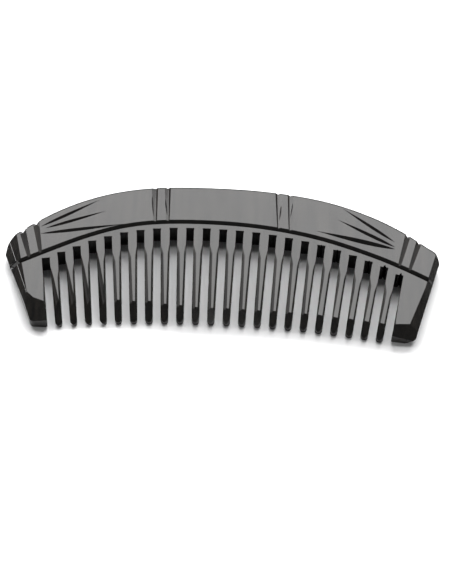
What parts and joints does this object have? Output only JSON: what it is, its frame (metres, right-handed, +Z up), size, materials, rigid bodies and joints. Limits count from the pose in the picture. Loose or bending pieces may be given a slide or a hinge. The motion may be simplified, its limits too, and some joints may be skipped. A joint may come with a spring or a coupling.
{
  "type": "beard comb",
  "caption": "Curved one-plate beard comb with a carved back, a scored line, rounded teeth and broad guard teeth at both ends.",
  "frame": {"origin": "middle of the comb's outline, on the plane of its back face, where it rests on a surface", "axes": "+X along the comb from the left guard tooth to the right one, +Y from the tooth tips towards the carved crest, +Z up through the thickness, out of the front face"},
  "size_m": [0.116, 0.048, 0.005],
  "materials": {
    "black_horn": "polished black horn, smooth and glossy, with faint dark brown streaks and fine hand-polishing marks"
  },
  "bodies": {
    "root": {"carved_back": "black_horn", "tooth_rail": "black_horn", "guard_tooth_left": "black_horn", "guard_tooth_right": "black_horn", "tooth_01": "black_horn", "tooth_02": "black_horn", "tooth_03": "black_horn", "tooth_04": "black_horn", "tooth_05": "black_horn", "tooth_06": "black_horn", "tooth_07": "black_horn", "tooth_08": "black_horn", "tooth_09": "black_horn", "tooth_10": "black_horn", "tooth_11": "black_horn", "tooth_12": "black_horn", "tooth_13": "black_horn", "tooth_14": "black_horn", "tooth_15": "black_horn", "tooth_16": "black_horn", "tooth_17": "black_horn", "tooth_18": "black_horn", "tooth_19": "black_horn", "tooth_20": "black_horn", "tooth_21": "black_horn", "tooth_22": "black_horn"}
  },
  "joints": []
}
